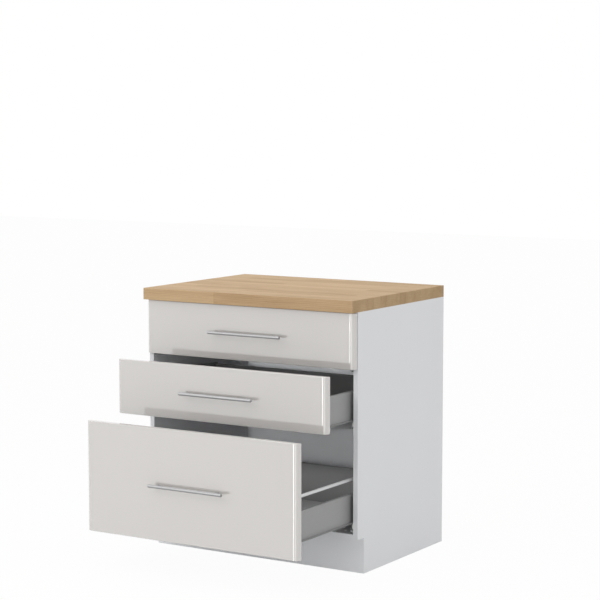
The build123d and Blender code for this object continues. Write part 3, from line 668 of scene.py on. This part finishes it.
def linked(name, data):
    """An object of a mesh, a lamp or a camera, in the scene."""
    thing = bpy.data.objects.new(name, data)
    bpy.context.scene.collection.objects.link(thing)
    return thing


def made_plain(thing, name):
    """The evaluated object as a plain mesh of its own, with the working object deleted."""
    bpy.context.view_layer.update()
    seen = thing.evaluated_get(bpy.context.evaluated_depsgraph_get())
    mesh = bpy.data.meshes.new_from_object(seen)
    mesh.name = name
    bpy.data.objects.remove(thing)
    return mesh


def shade(mesh):
    """Faces outward, smooth except over sharp edges."""
    work = bmesh.new()
    work.from_mesh(mesh)
    bmesh.ops.remove_doubles(work, verts=work.verts, dist=0.0001 * MM)
    bmesh.ops.recalc_face_normals(work, faces=work.faces)
    for face in work.faces:
        face.smooth = True
    for edge in work.edges:
        edge.smooth = len(edge.link_faces) == 2 and edge.calc_face_angle(0) < SHARP_ANGLE
    work.to_mesh(mesh)
    work.free()


def weigh_normals(thing):
    """Keeps wide flat faces flat where a small rounding meets them."""
    modifier = thing.modifiers.new("flat faces stay flat", "WEIGHTED_NORMAL")
    modifier.keep_sharp = True
    modifier.weight = 100


# ---------------------------------------------------------------- CAD pieces and their finishes

for part in frame["record"]["subparts"]:
    piece = nodes[part["node"]]
    piece.data.materials.clear()
    piece.data.materials.append(finishes[part["material_slot"]])
    fit(piece, softened)
    weigh_normals(piece)


# ---------------------------------------------------------------- handles

def build_handle(drawer):
    """Replaces a CAD handle by one of the same sizes in the same place, with a finer mesh."""
    low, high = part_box(f"handle_{drawer}")
    length, reach, diameter = high / MM - low / MM
    form = linked("handle form", bpy.data.meshes.new("handle form"))
    fit(form, bar_handle, Length=length, Diameter=diameter, Reach=reach - diameter / 2,
        Place=((low.x + high.x) / 2, high.y, (low.z + high.z) / 2),
        Finish=finishes["handle_steel"])
    mesh = made_plain(form, f"bar_handle_{drawer}")
    shade(mesh)
    handle = linked(f"bar_handle_{drawer}", mesh)
    weigh_normals(handle)
    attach(handle, f"drawer_{drawer}")
    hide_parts(f"handle_{drawer}")


drawers = ("top", "middle", "bottom")
for drawer in drawers:
    build_handle(drawer)


# ---------------------------------------------------------------- turned fasteners

def solids_in(node):
    """Corner points of each separate solid in a CAD node, sorted by place."""
    work = bmesh.new()
    work.from_mesh(nodes[node].data)
    bmesh.ops.remove_doubles(work, verts=work.verts, dist=0.001 * MM)
    waiting = set(work.verts)
    found = []
    while waiting:
        reached = [waiting.pop()]
        for vertex in reached:
            for edge in vertex.link_edges:
                other = edge.other_vert(vertex)
                if other in waiting:
                    waiting.remove(other)
                    reached.append(other)
        found.append([vertex.co.copy() for vertex in reached])
    work.free()
    found.sort(key=lambda points: tuple(round(min(p[i] for p in points), 4) for i in range(3)))
    return found


def fastener_lie(points):
    """Middle of a fastener's head, the way it points, its length and its head's radius (mm)."""
    low = Vector([min(p[i] for p in points) for i in range(3)])
    high = Vector([max(p[i] for p in points) for i in range(3)])
    size = high - low
    # It is round, so two of its sizes are alike, and the third is its length.
    middle_size = sorted(size)[1]
    axis = max(range(3), key=lambda i: abs(size[i] - middle_size))
    centre = (low + high) / 2
    quarter = size[axis] / 4

    def off_axis(point):
        flat = point - centre
        flat[axis] = 0
        return flat.length

    def widest(near):
        """Largest radius within a quarter of the length from one end."""
        return max(off_axis(point) for point in points if abs(point[axis] - near) < quarter)

    head_first = widest(low[axis]) > widest(high[axis])
    head = centre.copy()
    head[axis] = low[axis] if head_first else high[axis]
    facing = Vector((0, 0, 0))
    facing[axis] = 1 if head_first else -1
    return head, facing, size[axis] / MM, max(widest(low[axis]), widest(high[axis])) / MM


# The outlines below are lists of stations: (depth under the top of the head, radius), both in
# millimetres. Each starts from the CAD fastener's own length and head radius.

def threaded(start, end, radius, pitch):
    """Stations of a thread's crests and roots between two depths."""
    crest_from, crest_to, root = 0.45, 0.55, 0.72
    stations = []
    depth = start
    while depth + pitch <= end:
        stations += [(depth + pitch * crest_from, radius), (depth + pitch * crest_to, radius),
                     (depth + pitch, radius * root)]
        depth += pitch
    return stations


def pan_screw(length, head):
    """Low domed head, plain neck, thread and point."""
    neck = head * 0.5
    return ([(0.0, head * 0.72), (0.25, head * 0.84), (0.8, head * 0.95), (1.5, head),
             (2.18, head), (2.2, neck), (3.4, neck), (3.6, neck * 0.74)]
            + threaded(3.6, length - 2.0, neck, 1.4)
            + [(length - 1.6, neck * 0.72), (length, neck * 0.12)])


def countersunk_screw(length, head):
    """Flat head sunk in the runner, thread and point."""
    neck = head * 0.675
    return ([(0.0, head), (0.12, head), (1.2, neck), (2.0, neck), (2.1, neck * 0.78)]
            + threaded(2.1, length - 2.6, neck, 1.6)
            + [(length - 2.4, neck * 0.72), (length, neck * 0.3)])


def machine_screw(length, head):
    """Cylinder-like head with an eased rim and a fine thread."""
    neck = head * 0.5
    thread_start = length - 13.9
    return ([(0.0, head * 0.8), (0.3, head * 0.95), (0.9, head), (2.19, head), (2.2, neck),
             (thread_start - 0.1, neck), (thread_start, neck * 0.84)]
            + threaded(thread_start, length - 0.6, neck, 0.7)
            + [(length - 0.3, neck * 0.8), (length, neck * 0.6)])


def blind_rivet(length, head):
    """Domed head with the broken mandrel's dimple, body, and the bulb behind."""
    body = head * 0.57
    return [(0.35, 0.5), (0.3, head * 0.24), (0.0, head * 0.3), (0.05, head * 0.55),
            (0.45, head * 0.88), (0.9, head), (0.99, head), (1.0, body), (length - 1.0, body),
            (length - 0.98, head * 0.8), (length - 0.4, head * 0.76), (length, head * 0.5)]


def panel_nail(length, head):
    """Flat nail head, thin shank and a short point."""
    shank = head * 0.4
    return [(0.0, head * 0.9), (0.12, head), (0.5, head), (0.6, shank), (length - 2.2, shank),
            (length, shank * 0.15)]


def turned_mesh(name, stations, places, recess, material):
    """One mesh of a turned piece set out on every place."""
    row = bpy.data.meshes.new("stations")
    row.from_pydata([(0, 0, depth) for depth, radius in stations],
                    [(i, i + 1) for i in range(len(stations) - 1)], [])
    row.attributes.new("radius", "FLOAT", "POINT").data.foreach_set(
        "value", [radius for depth, radius in stations])
    spots = bpy.data.meshes.new("places")
    spots.from_pydata([tuple(place) for place, facing in places], [], [])
    spots.attributes.new("facing", "FLOAT_VECTOR", "POINT").data.foreach_set(
        "vector", [value for place, facing in places for value in facing])
    spots_object = linked("places", spots)
    work = linked("stations", row)
    reach, depth, width = recess
    fit(work, turned, Places=spots_object, Recess_Reach=reach, Recess_Depth=depth,
        Recess_Width=width, Finish=material)
    mesh = made_plain(work, name)
    bpy.data.objects.remove(spots_object)
    return mesh


# Each kind's outline, and the reach, depth and width of its cross recess in millimetres.
no_recess = (0.0, 0.0, 0.0)
kinds = {
    "pan": (pan_screw, (4.6, 1.5, 0.9)),
    "countersunk": (countersunk_screw, (4.2, 1.5, 0.9)),
    "machine": (machine_screw, (4.8, 1.6, 1.0)),
    "rivet": (blind_rivet, no_recess),
    "nail": (panel_nail, no_recess),
}


longest_pan_screw = 22


def kind_of(node, facing, length):
    """The rivets lie across the cabinet and the handle screws along its depth."""
    if node == "runner_screws":
        return "countersunk"
    if node == "back_panel_nails":
        return "nail"
    if abs(facing.x) > 0.5:
        return "rivet"
    if abs(facing.y) > 0.5 and length > longest_pan_screw:
        return "machine"
    return "pan"


def build_fasteners(node, name, body):
    """Replaces a CAD node of fasteners by turned ones of the same sizes in the same places."""
    lots = {}
    for points in solids_in(node):
        head, facing, length, radius = fastener_lie(points)
        kind = kind_of(node, facing, length)
        lots.setdefault((kind, round(length, 1), round(radius, 1)), []).append((head, facing))
    work = bmesh.new()
    for (kind, length, radius), places in sorted(lots.items()):
        outline, recess = kinds[kind]
        work.from_mesh(turned_mesh(name, outline(length, radius), places, recess,
                                   finishes["zinc"]))
    mesh = bpy.data.meshes.new(name)
    work.to_mesh(mesh)
    work.free()
    mesh.materials.append(finishes["zinc"])
    shade(mesh)
    piece = linked(name, mesh)
    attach(piece, body)
    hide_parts(node)


build_fasteners("runner_screws", "turned_runner_screws", "cabinet")
build_fasteners("worktop_screws", "turned_worktop_screws", "cabinet")
build_fasteners("back_panel_nails", "turned_panel_nails", "cabinet")
for drawer in drawers:
    build_fasteners(f"drawer_fixings_{drawer}", f"turned_fixings_{drawer}", f"drawer_{drawer}")


# ---------------------------------------------------------------- studio

def studio_floor():
    """Pale floor: lit by the lamps, and nearly white to the camera, with a trace of shadow."""
    mesh = bpy.data.meshes.new("studio floor")
    half = 14.0
    whiteness = 0.96
    mesh.from_pydata([(-half, -half, 0), (half, -half, 0), (half, half, 0), (-half, half, 0)],
                     [], [(0, 1, 2, 3)])
    material = bpy.data.materials.new("studio floor")
    material.use_nodes = True
    w = Wiring(material.node_tree)
    material.node_tree.nodes.remove(material.node_tree.nodes["Principled BSDF"])
    lit = w.add("ShaderNodeBsdfDiffuse", {"Color": (0.8, 0.8, 0.8, 1)}).outputs[0]
    white = w.add("ShaderNodeEmission", {"Color": (1, 1, 1, 1), "Strength": 1.0}).outputs[0]
    camera_ray = w.add("ShaderNodeLightPath").outputs["Is Camera Ray"]
    factor = w.maths("MULTIPLY", camera_ray, whiteness)
    both = w.add("ShaderNodeMixShader", {0: factor, 1: lit, 2: white}).outputs[0]
    w.put(material.node_tree.nodes["Material Output"].inputs["Surface"], both)
    mesh.materials.append(material)
    floor = linked("studio_floor", mesh)
    floor.visible_glossy = False


def studio_dome(level):
    """Even light from all round; white where the camera, a gloss or a glass sees it.

    Straight below it is darker to a gloss, as the shade under an object on a table is.
    """
    world = bpy.data.worlds.new("studio dome")
    bpy.context.scene.world = world
    world.use_nodes = True
    w = Wiring(world.node_tree)
    path = w.add("ShaderNodeLightPath").outputs
    seen = w.maths("MAXIMUM", path["Is Camera Ray"],
                   w.maths("MAXIMUM", path["Is Glossy Ray"], path["Is Transmission Ray"]))
    strength = w.maths("ADD", level, w.maths("MULTIPLY", seen, 1.0 - level))
    shade_starts, shade_full, shade_depth = -0.5, -0.8, 0.75
    height = w.split(w.add("ShaderNodeTexCoord").outputs["Generated"])[2]
    below = w.maths("MULTIPLY", w.ramp(height, shade_starts, shade_full), path["Is Glossy Ray"])
    kept = w.maths("SUBTRACT", 1.0, w.maths("MULTIPLY", below, shade_depth))
    strength = w.maths("MULTIPLY", strength, kept)
    background = world.node_tree.nodes["Background"]
    background.inputs["Color"].default_value = (1, 1, 1, 1)
    w.put(background.inputs["Strength"], strength)


def area_lamp(name, place, direction, width, height, power):
    """A rectangle that shines along the direction and that the camera doesn't see."""
    lamp = bpy.data.lights.new(name, "AREA")
    lamp.shape = "RECTANGLE"
    lamp.size = width
    lamp.size_y = height
    lamp.energy = power
    thing = linked(name, lamp)
    thing.location = place
    thing.rotation_euler = direction.to_track_quat("-Z", "Y").to_euler()
    thing.visible_camera = False
    return thing


def soft_box(name, place, aim, width, height, level, lights=True, mirrored=True):
    """A softbox that shines evenly from its whole face; level is its brightness, white being 1.

    One that doesn't light is seen in the gloss alone, as a bright window of a room would be.
    One that isn't mirrored gives light alone, and leaves no white patch on the flat fronts.
    """
    direction = Vector(aim) - Vector(place)
    box = area_lamp(name, place, direction, width, height, level * math.pi * width * height)
    box.visible_diffuse = lights
    box.visible_glossy = mirrored


def inside_strip(name, middle, drop, height, spread, power):
    """A hidden beam behind the drawer fronts, in a space that every pose leaves free.

    Its middle is a height over the floor, drop is how far the beam falls in each metre that it
    goes back, spread is the beam's angle in degrees, and power is in watts.
    """
    width = 0.75
    place = (0, carcass_front + 20 * MM, middle)
    strip = area_lamp(name, place, Vector((0, 1, -drop)), width, height, power)
    strip.data.spread = math.radians(spread)
    strip.visible_glossy = False


studio_floor()
studio_dome(0.74)
soft_box("overhead softbox", (-0.2, -0.4, 3.2), (0, 0, 0.85), width=2.4, height=2.2, level=1.2)
soft_box("key softbox", (-1.6, -2.6, 2.6), (0, -0.2, 0.5), width=1.8, height=1.4, level=2.8)
soft_box("tall front softbox", (-0.09, -3.3, -0.7), (-0.09, 0, -0.7), width=2.2, height=2.8,
         level=2.8, mirrored=False)
soft_box("side softbox", (3.4, -0.6, 1.2), (0, 0, 0.45), width=2.0, height=2.0, level=0.4,
         mirrored=False)
soft_box("left edge softbox", (-0.99, -3.2, -0.8), (-0.99, 0, -0.8), width=0.5, height=3.6,
         level=4.8, lights=False)
soft_box("right edge softbox", (1.1, -3.2, -0.8), (1.1, 0, -0.8), width=0.7, height=3.6,
         level=1.2, lights=False)
inside_strip("upper inside strip", middle=0.634, drop=0.15, height=0.012, spread=4, power=0.02)
inside_strip("lower inside strip", middle=0.4, drop=0.205, height=0.126, spread=6, power=0.062)
inside_strip("drawer strip", middle=0.39, drop=1.0, height=0.02, spread=30, power=0.03)


# ---------------------------------------------------------------- camera

# Fitted to the photo together with the cabinet's outline.
camera_place = (3.30834, -5.08300, 1.47061)
looks_down, turned_left = math.radians(5.937), math.radians(32.036)
photo_width, focal_length = 600, 1880.16  # in pixels of the photo
sensor_width = 36.0

camera = linked("camera", bpy.data.cameras.new("camera"))
camera.location = camera_place
camera.rotation_euler = (math.radians(90) - looks_down, 0.0, turned_left)
camera.data.sensor_width = sensor_width
camera.data.lens = sensor_width * focal_length / photo_width
camera.data.clip_end = 60.0
bpy.context.scene.camera = camera
bpy.context.scene.view_settings.view_transform = "Standard"
